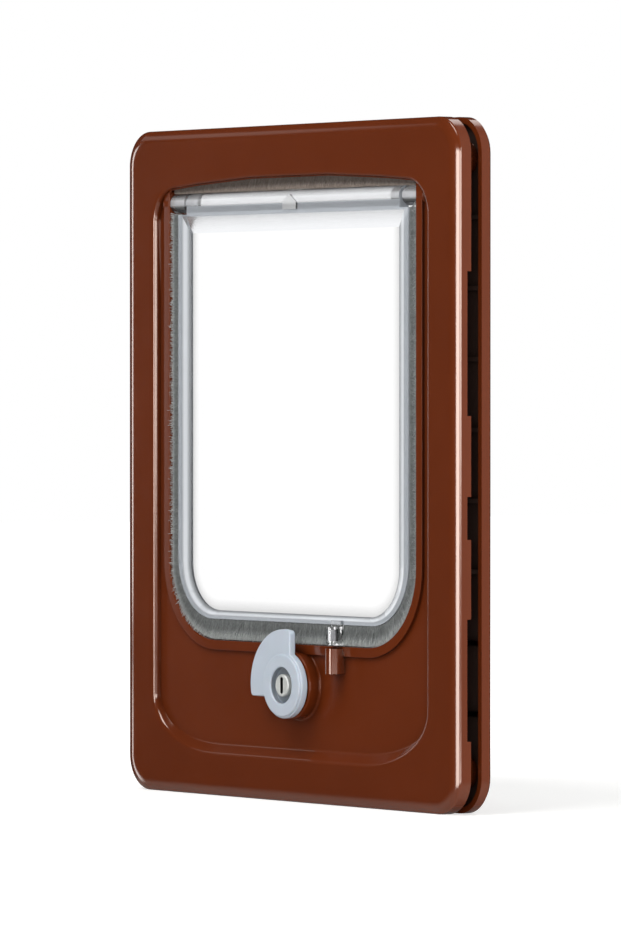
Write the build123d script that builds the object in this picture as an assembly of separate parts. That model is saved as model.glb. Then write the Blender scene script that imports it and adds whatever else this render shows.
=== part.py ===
"""Cat flap for a door panel: two clamped frames, a clear swing flap and a turning latch.

Millimetres. X runs to the right and Z up as seen from the room, and Y runs through the door, away
from the room. The origin is the middle of the door cut-out, on the door's room side.
"""
from build123d import *
import os
from math import sqrt

# Frames
frame_width = 198.0
frame_height = 236.0
frame_corner = 12.5
edge_round = 0.8
crown_width = 4.6
crown_depth = 1.0
rear_edge_chamfer = 1.3
wall = 2.0
panel = 2.2
front_depth = 6.2
rear_depth = 4.7
door_gap = 4.2
margin_side = 17.7
margin_top = 17.5
margin_bottom = 14.8

# Sunken field of the front frame
recess_depth = 2.5
recess_draft = 0.4
recess_ramp = 3.7
recess_chamfer = 0.7
recess_top_corner = 12.0
recess_bottom_corner_x = 38.0
recess_bottom_corner_z = 20.0
arch_radius = 800.0

# Opening and tunnel
field_side = 7.5
head_ledge = 0.6
sill_height = 55.0
opening_top_corner = 1.2
opening_bottom_corner = 28.0
lip_height = 1.2
lip_width = 3.4
lip_chamfer = 0.4
sleeve_short = 5.6
sleeve_clearance = 0.4
collar_reach = 3.4
rear_mouth_chamfer = 2.6

# Notches in the rear edge of the front frame's skirt, as (middle, length)
notch_depth = 1.6
side_notches = ((41.2, 48.8), (-17.7, 14.5), (-72.4, 41.2))
end_notches = ((-48.0, 40.0), (48.0, 40.0))

# Stiffening ribs behind the side margins
rib_thickness = 1.5
rib_pitch = 24.0
rib_count = 8
rib_clearance = 1.0

# Flap
flap_thickness = 4.0
flap_inset = 0.2
window_thickness = 2.0
rim_flat_side = 2.4
rim_flat_foot = 1.2
rim_bevel_side = 4.2
rim_bevel_foot = 1.8
window_head_slope = 6.0
flap_bottom_corner = 21.5
rim_corner = 19.5
window_corner = 17.0
flap_bush_gap = 0.6

# Pile strips
seal_clearance = 0.5
pile_side = 4.4
pile_bottom = 7.0
pile_thickness = 3.6
bond_gap = 0.05
head_seal_inset = 8.5
head_seal_gap = 0.4

# Hinge
hinge_drop = 8.6
hinge_setback = 5.2
barrel_radius = 3.5
barrel_gap = 1.6
pin_radius = 1.5
pin_sunk = 6.0
pin_end_gap = 0.5
running_clearance = 0.05
bush_length = 8.5
bush_end_wall = 1.5
spigot_radius = 2.5
hinge_boss_radius = 4.0
hinge_boss_length = 2.6
nib_width = 8.0
nib_height = 5.4
nib_proud = 0.5

# Turning latch
latch_x = 5.0
latch_drop = 14.1
boss_radius = 11.8
boss_height = 4.6
boss_chamfer = 0.6
washer_thickness = 0.4
washer_radius = 7.0
latch_thickness = 2.6
latch_hub_radius = 11.5
latch_hub_raise = 0.8
latch_reach = 19.5
latch_overlap = 4.2
latch_chamfer = 0.5
dish_radius = 6.3
dish_depth = 2.3
latch_screw_radius = 2.0
latch_head_radius = 3.9
latch_head_height = 1.9
latch_head_chamfer = 0.4
latch_slot_width = 1.6
latch_slot_length = 5.8
latch_slot_depth = 1.3
latch_thread_length = 5.3
latch_axial_gap = 0.05

# Magnetic closure
magnet_x = 28.5
magnet_radius = 1.5
magnet_wall = 1.4
magnet_back_wall = 0.5
flap_magnet_length = 4.0
pocket_rim = 0.9
pocket_hook_thickness = 1.2
pocket_hook_reach = 1.5
frame_magnet_length = 8.0
magnet_gap = 1.9
peg_wall = 1.6
peg_cap = 0.7

# Screws that clamp the two frames
screw_inset_x = 10.8
screw_inset_z = 14.0
screw_radius = 1.75
screw_head_radius = 3.4
screw_head_height = 1.9
screw_head_room = 0.4
screw_sink = 2.4
screw_boss_radius = 4.2
screw_post_radius = 5.4
screw_hole_clearance = 0.05
screw_skin = 1.6
screw_tip_gap = 0.3

# Places worked out from the sizes above
half_width = frame_width / 2
half_height = frame_height / 2
front_y = -front_depth
floor_y = front_y + recess_depth
floor_back_y = floor_y + wall
rear_front_y = door_gap
rear_y = door_gap + rear_depth
sleeve_rear_y = rear_y - sleeve_short
hinge_y = front_y + hinge_setback
recess_half = half_width - margin_side
recess_top = half_height - margin_top
recess_bottom = -half_height + margin_bottom
opening_half = recess_half - field_side
opening_top = recess_top - head_ledge
opening_bottom = -half_height + sill_height
hinge_z = recess_top - hinge_drop
flap_half = opening_half - seal_clearance - pile_side
flap_bottom = opening_bottom + seal_clearance + pile_bottom
flap_top = hinge_z - barrel_radius - flap_bush_gap
barrel_half = opening_half - bush_length - barrel_gap
pin_inner = barrel_half - pin_sunk
pin_outer = opening_half - bush_end_wall - pin_end_gap
latch_z = opening_bottom - latch_drop
boss_y = floor_y - boss_height
latch_back_y = boss_y - washer_thickness - latch_axial_gap
latch_face_y = latch_back_y - latch_thickness
latch_hub_y = latch_face_y - latch_hub_raise
dish_y = latch_hub_y + dish_depth
flap_front_y = hinge_y - barrel_radius + flap_inset
flap_back_y = flap_front_y + flap_thickness
flap_middle_y = (flap_front_y + flap_back_y) / 2
pile_front_y = flap_middle_y - pile_thickness / 2
pile_back_y = flap_middle_y + pile_thickness / 2
magnet_y = flap_front_y - bond_gap - magnet_back_wall - magnet_radius
pocket_radius = magnet_radius + magnet_wall
peg_radius = magnet_radius + peg_wall
flap_magnet_bottom = opening_bottom + seal_clearance + magnet_wall
flap_magnet_top = flap_magnet_bottom + flap_magnet_length
frame_magnet_top = flap_magnet_bottom - magnet_gap - magnet_wall
frame_magnet_bottom = frame_magnet_top - frame_magnet_length
screw_x = half_width - screw_inset_x
screw_z = half_height - screw_inset_z
screw_seat_y = rear_y - screw_sink
screw_tip_y = front_y + screw_skin + screw_tip_gap
screw_places = [(sx * screw_x, sz * screw_z) for sx in (-1, 1) for sz in (-1, 1)]


def slab(outline, y_from, y_to):
    """Prism of an outline drawn from the front, between two depths."""
    return extrude(Plane.XZ.offset(-y_from) * outline, amount=y_from - y_to)


def tapered_slab(outline_from, outline_to, y_from, y_to):
    """Solid that changes from one front outline to another between two depths."""
    start = Plane.XZ.offset(-y_from) * outline_from
    end = Plane.XZ.offset(-y_to) * outline_to
    return loft([start.face(), end.face()], ruled=True)


def block(x_from, x_to, y_from, y_to, z_from, z_to):
    """Box between two corners."""
    middle = Pos((x_from + x_to) / 2, (y_from + y_to) / 2, (z_from + z_to) / 2)
    return middle * Box(x_to - x_from, y_to - y_from, z_to - z_from)


def rod_x(radius, x_from, x_to):
    """Round bar along the hinge axis."""
    return Pos((x_from + x_to) / 2, hinge_y, hinge_z) * Rot(0, 90, 0) * Cylinder(radius, x_to - x_from)


def rod_y(radius, x, z, y_from, y_to):
    """Round bar through the door."""
    return Pos(x, (y_from + y_to) / 2, z) * Rot(90, 0, 0) * Cylinder(radius, y_to - y_from)


def rod_z(radius, x, y, z_from, z_to):
    """Upright round bar."""
    return Pos(x, y, (z_from + z_to) / 2) * Cylinder(radius, z_to - z_from)


def half_round_bar(radius, back_y, z_from, z_to):
    """Upright bar at the magnets, round in front and flat behind."""
    front_half = Circle(radius) & Pos(0, -radius / 2) * Rectangle(2 * radius, radius)
    flat_half = Pos(0, (back_y - magnet_y) / 2) * Rectangle(2 * radius, back_y - magnet_y)
    outline = Pos(magnet_x, magnet_y) * (front_half + flat_half)
    return extrude(Plane.XY.offset(z_from) * outline, amount=z_to - z_from)


def frame_outline(inset=0.0):
    """Rounded rectangle of both frames, moved inwards by the inset."""
    return RectangleRounded(frame_width - 2 * inset, frame_height - 2 * inset, frame_corner - inset)


def quarter(centre, radius_x, radius_z, start):
    """Quarter of a circle or an ellipse, anticlockwise from the start angle."""
    if radius_x == radius_z:
        return CenterArc(centre, radius_x, start, 90)
    return EllipticalCenterArc(centre, radius_x, radius_z, start, arc_size=90)


def arched_outline(half, top, bottom, top_corner, corner_x, corner_z, arch):
    """Upright outline with an arched head, rounded upper corners and elliptical lower corners."""
    spring = top - arch + sqrt(arch**2 - half**2)
    head = ThreePointArc((half, spring), (0, top), (-half, spring))
    left_side = Line((-half, spring), (-half, bottom + corner_z))
    left_corner = quarter((corner_x - half, bottom + corner_z), corner_x, corner_z, 180)
    foot = Line((corner_x - half, bottom), (half - corner_x, bottom))
    right_corner = quarter((half - corner_x, bottom + corner_z), corner_x, corner_z, 270)
    right_side = Line((half, bottom + corner_z), (half, spring))
    face = make_face([head, left_side, left_corner, foot, right_corner, right_side])
    return fillet(face.vertices().group_by(Axis.Y)[-1], top_corner)


def recess_outline(inset=0.0, ramp=0.0):
    """Sunken field, moved inwards at the sides and raised at the foot."""
    return arched_outline(recess_half - inset, recess_top - inset, recess_bottom + ramp,
                          recess_top_corner - inset, recess_bottom_corner_x - inset,
                          recess_bottom_corner_z - inset, arch_radius - inset)


def opening_outline(grow=0.0):
    """Mouth of the tunnel, moved outwards all round."""
    return arched_outline(opening_half + grow, opening_top + grow, opening_bottom - grow,
                          opening_top_corner + grow, opening_bottom_corner + grow,
                          opening_bottom_corner + grow, arch_radius + grow)


def hung_outline(half, top, bottom, corner):
    """Flap shape: square at the top and rounded at the foot."""
    face = Pos(0, (top + bottom) / 2) * Rectangle(2 * half, top - bottom)
    return fillet(face.vertices().group_by(Axis.Y)[0], corner)


def flap_outline(inset=0.0):
    """Edge of the flap, moved inwards at the sides and foot."""
    return hung_outline(flap_half - inset, flap_top, flap_bottom + inset, flap_bottom_corner - inset)


def side_ribs(x_inner, x_outer, y_from, y_to):
    """Short ribs across both side margins."""
    ribs = []
    for index in range(rib_count):
        z = (index - (rib_count - 1) / 2) * rib_pitch
        for side in (-1, 1):
            x_low, x_high = sorted((side * x_inner, side * x_outer))
            ribs.append(block(x_low, x_high, y_from, y_to, z - rib_thickness / 2, z + rib_thickness / 2))
    return ribs


def skirt_notches():
    """Cutters for the stepped rear edge of the skirt."""
    cutters = []
    for middle, length in side_notches:
        for side in (-1, 1):
            x_low, x_high = sorted((side * (half_width - 2 * wall), side * (half_width + wall)))
            cutters.append(block(x_low, x_high, -notch_depth, wall, middle - length / 2, middle + length / 2))
    for middle, length in end_notches:
        for side in (-1, 1):
            z_low, z_high = sorted((side * (half_height - 2 * wall), side * (half_height + wall)))
            cutters.append(block(middle - length / 2, middle + length / 2, -notch_depth, wall, z_low, z_high))
    return cutters


def front_frame_shell():
    """Front panel with its sunken field, crowned edge and skirt."""
    crown_y = front_y + crown_depth
    shell = slab(frame_outline(), crown_y, 0)
    shell += tapered_slab(frame_outline(crown_width), frame_outline(), front_y, crown_y)
    edge_loop = shell.edges().filter_by_position(Axis.Y, crown_y - crown_depth / 9, crown_y + crown_depth / 9)
    shell = fillet(edge_loop, edge_round)
    wall_y = front_y + recess_chamfer
    shell -= tapered_slab(recess_outline(-recess_chamfer, -recess_chamfer), recess_outline(), front_y, wall_y)
    shell -= tapered_slab(recess_outline(), recess_outline(recess_draft, recess_ramp), wall_y, floor_y)
    hollow = slab(frame_outline(wall), front_y + panel, 0)
    hollow -= slab(recess_outline(-wall), front_y, floor_back_y)
    return shell - hollow


def build_front_frame():
    """Room-side frame with tunnel, hinge sockets, latch boss, magnet peg and screw bosses."""
    frame = front_frame_shell()
    frame -= skirt_notches()
    frame += side_ribs(recess_half, half_width - wall / 2, front_y + panel / 2, -notch_depth - rib_clearance)

    lip_y = floor_y - lip_height
    lip = slab(opening_outline(lip_width), lip_y, floor_back_y)
    lip_face = lip.faces().sort_by(Axis.Y)[0]
    frame += chamfer(lip_face.outer_wire().edges(), lip_chamfer)
    frame += slab(opening_outline(wall), floor_y, sleeve_rear_y)
    for side in (-1, 1):
        x_low, x_high = sorted((side * opening_half, side * (opening_half + wall + hinge_boss_length)))
        boss = rod_x(hinge_boss_radius, x_low, x_high)
        frame += boss & block(x_low, x_high, front_y, floor_back_y, hinge_z - margin_top, hinge_z + margin_top)
    frame -= slab(opening_outline(), front_y - wall, rear_y)
    frame -= rod_x(spigot_radius + bond_gap, -opening_half - wall, opening_half + wall)

    boss = rod_y(boss_radius, latch_x, latch_z, boss_y, floor_back_y)
    frame += chamfer(boss.edges().group_by(Axis.Y)[0], boss_chamfer)
    thread_y = boss_y + latch_thread_length + screw_tip_gap
    frame -= rod_y(latch_screw_radius + screw_hole_clearance, latch_x, latch_z, boss_y, thread_y)

    peg_top = frame_magnet_top + peg_cap
    frame += half_round_bar(peg_radius, floor_back_y, frame_magnet_bottom, peg_top)
    frame -= rod_z(magnet_radius + bond_gap, magnet_x, magnet_y, frame_magnet_bottom, frame_magnet_top)

    for x, z in screw_places:
        frame += rod_y(screw_boss_radius, x, z, front_y + panel / 2, 0)
        frame -= rod_y(screw_radius + screw_hole_clearance, x, z, front_y + screw_skin, 0)
    return frame


def build_rear_frame():
    """Weather-side frame with a collar round the tunnel and posts for the clamping screws."""
    frame = slab(frame_outline(), rear_front_y, rear_y)
    rear_face = frame.faces().sort_by(Axis.Y)[-1]
    frame = chamfer(rear_face.outer_wire().edges(), rear_edge_chamfer)
    frame -= slab(frame_outline(wall), rear_front_y, rear_y - panel)
    frame += slab(opening_outline(sleeve_clearance + 2 * wall), rear_front_y - collar_reach, rear_y)
    ribs_inner = opening_half + sleeve_clearance + wall + wall / 2
    frame += side_ribs(ribs_inner, half_width - wall / 2, rear_front_y + rib_clearance, rear_y - panel / 2)
    for x, z in screw_places:
        frame += rod_y(screw_post_radius, x, z, rear_front_y, rear_y - panel / 2)
    frame -= slab(opening_outline(sleeve_clearance + wall), rear_front_y - collar_reach, rear_y)
    rear_face = frame.faces().sort_by(Axis.Y)[-1]
    frame = chamfer(rear_face.inner_wires()[0].edges(), rear_mouth_chamfer)
    for x, z in screw_places:
        frame -= rod_y(screw_radius + screw_hole_clearance, x, z, rear_front_y, rear_y)
        frame -= rod_y(screw_head_radius + screw_head_room, x, z, screw_seat_y, rear_y)
    return frame


def build_flap():
    """Clear moulding with a thick bevelled rim, hinge barrel, nib and magnet pocket."""
    flap = slab(flap_outline(), flap_front_y, flap_back_y)
    flap += slab(Pos(0, (flap_top + hinge_z) / 2 - barrel_radius)
                 * Rectangle(2 * barrel_half, hinge_z - flap_top + 2 * barrel_radius),
                 flap_front_y, flap_back_y)
    mouth_half = flap_half - rim_flat_side
    mouth_top = flap_top - flap_bush_gap
    mouth_bottom = flap_bottom + rim_flat_foot
    mouth = hung_outline(mouth_half, mouth_top, mouth_bottom, rim_corner)
    pane = hung_outline(mouth_half - rim_bevel_side, mouth_top - window_head_slope,
                        mouth_bottom + rim_bevel_foot, window_corner)
    for face_y, side in ((flap_front_y, -1), (flap_back_y, 1)):
        flap -= tapered_slab(mouth, pane, face_y, flap_middle_y + side * window_thickness / 2)
    flap += rod_x(barrel_radius, -barrel_half, barrel_half)
    nib = make_face(Polyline((-nib_width / 2, 0), (nib_width / 2, 0), (nib_width / 2, nib_height / 2),
                             (0, nib_height), (-nib_width / 2, nib_height / 2), close=True))
    nib_y = hinge_y - barrel_radius - nib_proud
    flap += slab(Pos(0, hinge_z - barrel_radius) * nib, nib_y, hinge_y)
    for x_low, x_high in ((-barrel_half, -pin_inner), (pin_inner, barrel_half)):
        flap -= rod_x(pin_radius + running_clearance, x_low, x_high)

    pocket_bottom = flap_magnet_bottom - magnet_wall
    pocket_top = flap_magnet_top + pocket_rim
    hook_top = flap_bottom + pocket_hook_reach
    hook_y = flap_front_y - pocket_hook_thickness
    x_low, x_high = magnet_x - pocket_radius, magnet_x + pocket_radius
    flap += half_round_bar(pocket_radius, flap_front_y - bond_gap, pocket_bottom, pocket_top)
    flap += block(x_low, x_high, hook_y, flap_front_y - bond_gap, flap_magnet_top, hook_top)
    flap += block(x_low, x_high, hook_y, flap_middle_y, flap_bottom, hook_top)
    flap -= rod_z(magnet_radius + bond_gap, magnet_x, magnet_y, flap_magnet_bottom, pocket_top)
    return flap


def build_brush_strip():
    """Pile strip bonded round the sides and foot of the flap."""
    outer = hung_outline(flap_half + pile_side, flap_top, flap_bottom - pile_bottom,
                         opening_bottom_corner - seal_clearance)
    return slab(outer - flap_outline(-bond_gap), pile_front_y, pile_back_y)


def build_head_seal():
    """Pile strip under the arched head, just clear of the hinge barrel."""
    half = opening_half - head_seal_inset
    foot = hinge_z + barrel_radius + head_seal_gap
    top = opening_top - bond_gap
    radius = arch_radius - bond_gap
    spring = top - radius + sqrt(radius**2 - half**2)
    head = ThreePointArc((half, spring), (0, top), (-half, spring))
    sides = Polyline((-half, spring), (-half, foot), (half, foot), (half, spring))
    outline = make_face([head, *sides.edges()])
    return slab(outline, pile_front_y, pile_back_y)


def build_hinge_pins():
    """Clear pin in each end of the barrel, which turns in its bush."""
    return Compound(children=[rod_x(pin_radius, -pin_outer, -pin_inner), rod_x(pin_radius, pin_inner, pin_outer)])


def build_hinge_bush(side):
    """Clear bearing block between the barrel and one tunnel wall."""
    inner = opening_half - bush_length
    socket_end = opening_half - bush_end_wall
    x_low, x_high = sorted((side * inner, side * opening_half))
    bush = rod_x(barrel_radius, x_low, x_high)
    x_low, x_high = sorted((side * opening_half, side * (opening_half + wall)))
    bush += rod_x(spigot_radius, x_low, x_high)
    x_low, x_high = sorted((side * inner, side * socket_end))
    return bush - rod_x(pin_radius + running_clearance, x_low, x_high)


def latch_outline():
    """Round hub with a quarter-round tongue towards the upper left."""
    corner = sqrt(latch_reach**2 - latch_overlap**2)
    middle = latch_reach / sqrt(2)
    rim = ThreePointArc((latch_overlap, corner), (-middle, middle), (-corner, -latch_overlap))
    sides = Polyline((-corner, -latch_overlap), (latch_overlap, -latch_overlap), (latch_overlap, corner))
    return make_face([rim, *sides.edges()]) + Circle(latch_hub_radius)


def build_latch():
    """Turning latch with a raised hub and a dished seat for its screw."""
    latch = slab(Pos(latch_x, latch_z) * latch_outline(), latch_face_y, latch_back_y)
    latch = chamfer(latch.edges().group_by(Axis.Y)[0], latch_chamfer)
    hub = rod_y(latch_hub_radius - latch_chamfer, latch_x, latch_z, latch_hub_y, latch_back_y)
    latch += chamfer(hub.edges().group_by(Axis.Y)[0], latch_chamfer)
    latch -= rod_y(dish_radius, latch_x, latch_z, latch_hub_y, dish_y)
    return latch - rod_y(latch_screw_radius + running_clearance, latch_x, latch_z, dish_y, latch_back_y)


def build_latch_washer():
    """Spring washer that gives the latch its drag."""
    washer = rod_y(washer_radius, latch_x, latch_z, boss_y - washer_thickness, boss_y)
    hole = latch_screw_radius + 2 * running_clearance
    return washer - rod_y(hole, latch_x, latch_z, boss_y - washer_thickness, boss_y)


def build_latch_screw():
    """Slotted screw on which the latch turns."""
    seat_y = dish_y - latch_axial_gap
    face_y = seat_y - latch_head_height
    head = rod_y(latch_head_radius, latch_x, latch_z, face_y, seat_y)
    head = chamfer(head.edges().group_by(Axis.Y)[0], latch_head_chamfer)
    screw = head + rod_y(latch_screw_radius, latch_x, latch_z, seat_y, boss_y + latch_thread_length)
    slot = Pos(latch_x, latch_z) * SlotOverall(latch_slot_length, latch_slot_width, rotation=90)
    return screw - slab(slot, face_y, face_y + latch_slot_depth)


def build_frame_screws():
    """Four clamping screws driven from the weather side."""
    screws = []
    for x, z in screw_places:
        head = rod_y(screw_head_radius, x, z, screw_seat_y, screw_seat_y + screw_head_height)
        screws.append(head + rod_y(screw_radius, x, z, screw_tip_y, screw_seat_y))
    return Compound(children=screws)


pieces = {
    "front_frame": build_front_frame(),
    "rear_frame": build_rear_frame(),
    "flap": build_flap(),
    "brush_strip": build_brush_strip(),
    "head_seal": build_head_seal(),
    "hinge_rod": build_hinge_pins(),
    "hinge_bush_left": build_hinge_bush(-1),
    "hinge_bush_right": build_hinge_bush(1),
    "latch": build_latch(),
    "latch_washer": build_latch_washer(),
    "latch_screw": build_latch_screw(),
    "flap_magnet": rod_z(magnet_radius, magnet_x, magnet_y, flap_magnet_bottom, flap_magnet_top),
    "frame_magnet": rod_z(magnet_radius, magnet_x, magnet_y, frame_magnet_bottom, frame_magnet_top),
    "frame_screws": build_frame_screws(),
}

os.makedirs("parts", exist_ok=True)
for name, piece in pieces.items():
    export_step(piece, f"parts/{name}.step")
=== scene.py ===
from math import atan2, cos, hypot, pi, radians, sin, sqrt, tan
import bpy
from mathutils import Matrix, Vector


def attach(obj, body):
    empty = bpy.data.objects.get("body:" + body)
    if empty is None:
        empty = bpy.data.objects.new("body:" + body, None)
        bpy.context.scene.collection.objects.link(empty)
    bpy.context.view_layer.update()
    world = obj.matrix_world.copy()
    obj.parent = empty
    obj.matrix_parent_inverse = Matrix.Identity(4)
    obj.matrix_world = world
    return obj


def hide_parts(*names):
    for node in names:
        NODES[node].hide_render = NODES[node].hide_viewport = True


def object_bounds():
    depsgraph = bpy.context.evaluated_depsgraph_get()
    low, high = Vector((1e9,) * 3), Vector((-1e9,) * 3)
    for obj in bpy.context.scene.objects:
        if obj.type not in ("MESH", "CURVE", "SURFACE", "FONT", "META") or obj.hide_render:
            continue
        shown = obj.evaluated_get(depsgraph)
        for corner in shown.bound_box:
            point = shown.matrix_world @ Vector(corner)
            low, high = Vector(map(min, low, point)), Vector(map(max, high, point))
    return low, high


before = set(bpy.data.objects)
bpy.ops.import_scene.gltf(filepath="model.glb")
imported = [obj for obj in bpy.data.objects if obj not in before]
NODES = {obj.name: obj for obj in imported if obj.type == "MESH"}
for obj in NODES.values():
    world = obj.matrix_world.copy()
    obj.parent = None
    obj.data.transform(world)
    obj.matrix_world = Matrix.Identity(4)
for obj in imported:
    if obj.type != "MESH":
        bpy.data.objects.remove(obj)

from types import SimpleNamespace

import bmesh
import bpy
from bpy.props import FloatProperty, FloatVectorProperty, IntProperty, PointerProperty
from mathutils import Matrix, Vector

bl_info = {
    "name": "Cat flap",
    "version": (1, 0, 0),
    "blender": (4, 5, 0),
    "location": "View3D > Sidebar > Cat flap",
    "description": "Moulded cat flap with a clear swing flap, pile seals and a turning latch",
    "category": "Add Mesh",
}

MM = 0.001
CAD_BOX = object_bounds()
CORNER_STEPS = 14
SHARP_ANGLE = radians(38)
WHITE = (1.0, 1.0, 1.0, 1.0)
# Floor and surround behind the pane, a little above white to make up for what the pane takes
WHITE_THROUGH_PANE = 1.08

# Sizes in millimetres that more than one piece uses
SCREW_X = 88.2
SCREW_Z = 104.0
LATCH_BORE = 2.05
SIDE_NOTCHES = ((16.8, 65.6), (-24.95, -10.45), (-93.0, -51.8))
END_NOTCH = (28.0, 68.0)
# Half width of a step in the skirt
STEP_HALF = 0.02
# Arch radius of a straight head
FLAT = 1.0e6
# Least radius of a turned end
AXIS_GAP = 0.02


def linear(code):
    """Linear colour of an sRGB hex value."""
    channels = [int(code[start:start + 2], 16) / 255 for start in (0, 2, 4)]
    return [c / 12.92 if c <= 0.04045 else ((c + 0.055) / 1.055) ** 2.4 for c in channels] + [1.0]


def length(name, description, millimetres):
    """Property for a size of the object."""
    return FloatProperty(name=name, description=description, default=millimetres * MM,
                         unit="LENGTH", precision=5)


def colour(name, description, code):
    """Property for a colour of the object."""
    return FloatVectorProperty(name=name, description=description, default=linear(code),
                               subtype="COLOR", size=4, min=0.0, max=1.0)


class FlapSizes(bpy.types.PropertyGroup):
    """Sizes of the visible mouldings."""

    frame_width: length("Frame width", "Outside width of the frame", 198.0)
    frame_height: length("Frame height", "Outside height of the frame", 236.0)
    frame_corner: length("Frame corner", "Outside corner radius of the frame", 12.5)
    front_depth: length("Front depth", "Front face to the door", 6.2)
    edge_crown: length("Edge crown", "Radius of the slight crown towards the front edge", 9.0)
    edge_round: length("Edge round", "Radius of the front edge itself", 0.8)
    wall: length("Wall", "Thickness of the moulded walls", 2.0)
    panel: length("Panel", "Thickness of the front panel", 2.2)
    recess_half: length("Field half width", "Half width of the sunken field", 81.3)
    recess_top: length("Field top", "Crown of the sunken field above the middle", 100.5)
    recess_foot: length("Field foot", "Foot of the sunken field below the middle", 103.2)
    recess_depth: length("Field depth", "How far the field is sunken", 2.5)
    recess_ramp: length("Foot ramp", "Width of the ramp at the foot of the field", 3.7)
    arch_radius: length("Arch radius", "Radius of the arched head", 800.0)
    opening_half: length("Opening half width", "Half width of the tunnel", 73.8)
    opening_top: length("Opening top", "Crown of the tunnel above the middle", 99.9)
    opening_foot: length("Opening foot", "Foot of the tunnel below the middle", 63.0)
    opening_corner: length("Opening corner", "Lower corner radius of the tunnel", 28.0)
    lip_height: length("Lip height", "How far the tunnel's lip stands off the field", 1.2)
    lip_width: length("Lip width", "Width of the tunnel's lip", 3.4)
    tunnel_end: length("Tunnel end", "Rear end of the tunnel behind the door's front", 3.3)
    notch_depth: length("Notch depth", "Depth of the notches in the skirt", 1.6)
    flap_depth: length("Flap depth", "Middle plane of the flap in front of the door", 2.3)
    flap_half: length("Flap half width", "Half width of the clear flap", 68.9)
    flap_top: length("Flap top", "Top of the flap's sides above the middle", 87.8)
    flap_foot: length("Flap foot", "Foot of the flap below the middle", 55.5)
    flap_corner: length("Flap corner", "Lower corner radius of the flap", 21.5)
    hinge_height: length("Hinge height", "Hinge axis above the middle", 91.9)
    hinge_depth: length("Hinge depth", "Hinge axis in front of the door", 1.0)
    latch_x: length("Latch place", "Latch axis to the right of the middle", 5.0)
    latch_drop: length("Latch drop", "Latch axis below the middle", 77.1)
    latch_reach: length("Latch reach", "Radius of the latch's tongue", 19.5)
    latch_hub: length("Latch hub", "Radius of the latch's hub", 11.5)
    magnet_x: length("Magnet place", "Magnets to the right of the middle", 28.5)


class PileSizes(bpy.types.PropertyGroup):
    """Make of the pile strips."""

    thickness: length("Strip thickness", "Depth of the pile through the door", 3.6)
    side: length("Side pile", "Pile length at the flap's sides", 4.8)
    foot: length("Foot pile", "Pile length at the flap's foot", 7.4)
    head: length("Head pile", "Pile length under the arched head", 4.6)
    pitch: length("Tuft pitch", "Distance from fibre to fibre along the strip", 0.24)
    fibre: length("Fibre radius", "Radius of a fibre at its root", 0.1)
    rows: IntProperty(name="Rows", description="Rows of fibres across the strip", default=11, min=1)
    lean: FloatProperty(name="Lean", description="How far fibres lean out of line", default=0.42,
                        unit="ROTATION")


class FlapColours(bpy.types.PropertyGroup):
    """Colours of the materials."""

    brown: colour("Brown", "Moulded frame", "60280F")
    # Painted shade in the gap between the frames
    hollow: colour("Hollow", "Painted shade on the hollow side of the rear frame", "3E302B")
    clear: colour("Clear", "Window and magnet pocket of the flap", "FFFFFF")
    satin: colour("Satin", "Flat of the flap's frosted rim", "BCC1C7")
    barrel: colour("Barrel", "Hinge barrel, bushes and pins", "F7F8FA")
    bevel: colour("Bevel", "Bevel of the flap's frosted rim", "E2E6EB")
    pile_dark: colour("Pile dark", "Darkest fibres", "7C8080")
    pile_light: colour("Pile light", "Palest fibres", "B8BBB9")
    # Head pile colours: the grey pile, darker and browner as painted shade under the brown head
    head_pile_shade_dark: colour("Head pile dark", "Darkest fibres under the head", "6E625A")
    head_pile_shade_light: colour("Head pile light", "Palest fibres under the head", "948A82")
    latch: colour("Latch", "Turning latch", "B3BCC7")
    zinc: colour("Zinc", "Plated screws and washer", "C9CBC8")
    nickel: colour("Nickel", "Plated magnets", "8E8E92")
    floor: colour("Floor", "Floor under the object", "C8C8C6")


def in_millimetres(group):
    """Sizes of a property group as plain numbers in millimetres, other values as they are."""
    values = {}
    for key in type(group).__annotations__:
        value = getattr(group, key)
        unit = group.bl_rna.properties[key].unit
        values[key] = value / MM if unit == "LENGTH" else value
    return SimpleNamespace(**values)


def add_node(tree, kind, inputs=None, **settings):
    """New node whose inputs take values, sockets or the first output of other nodes."""
    node = tree.nodes.new(kind)
    for key, value in settings.items():
        setattr(node, key, value)
    for key, value in (inputs or {}).items():
        if isinstance(value, bpy.types.Node):
            value = value.outputs[0]
        if isinstance(value, bpy.types.NodeSocket):
            tree.links.new(value, node.inputs[key])
        else:
            node.inputs[key].default_value = value
    return node


def calc(tree, operation, first, second=0.0, third=0.0):
    """Math node."""
    return add_node(tree, "ShaderNodeMath", {0: first, 1: second, 2: third}, operation=operation)


def vector(tree, operation, first, second):
    """Vector Math node with two inputs."""
    return add_node(tree, "ShaderNodeVectorMath", {0: first, 1: second}, operation=operation)


def scaled(tree, first, factor):
    """Vector or colour times a factor."""
    return add_node(tree, "ShaderNodeVectorMath", {0: first, "Scale": factor}, operation="SCALE")


def ranged(tree, value, given, wanted=(0.0, 1.0), kind="LINEAR"):
    """Value carried from the given range to the wanted one and held at its ends."""
    inputs = dict(enumerate((value, *given, *wanted)))
    return add_node(tree, "ShaderNodeMapRange", inputs, interpolation_type=kind)


def between(tree, share, first, second):
    """Number between two others."""
    return add_node(tree, "ShaderNodeMix", {0: share, 2: first, 3: second}, data_type="FLOAT")


def mixed(tree, share, dark, light):
    """Colour between two others."""
    return add_node(tree, "ShaderNodeMix", {0: share, 6: dark, 7: light}, data_type="RGBA").outputs[2]


def split(tree, place):
    """The X, Y and Z of a place."""
    return add_node(tree, "ShaderNodeSeparateXYZ", {0: place}).outputs


def noise(tree, where, millimetres, detail):
    """Noise with features of about the given size."""
    inputs = {"Vector": where, "Scale": 1 / (millimetres * MM), "Detail": detail}
    return add_node(tree, "ShaderNodeTexNoise", inputs)


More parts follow.
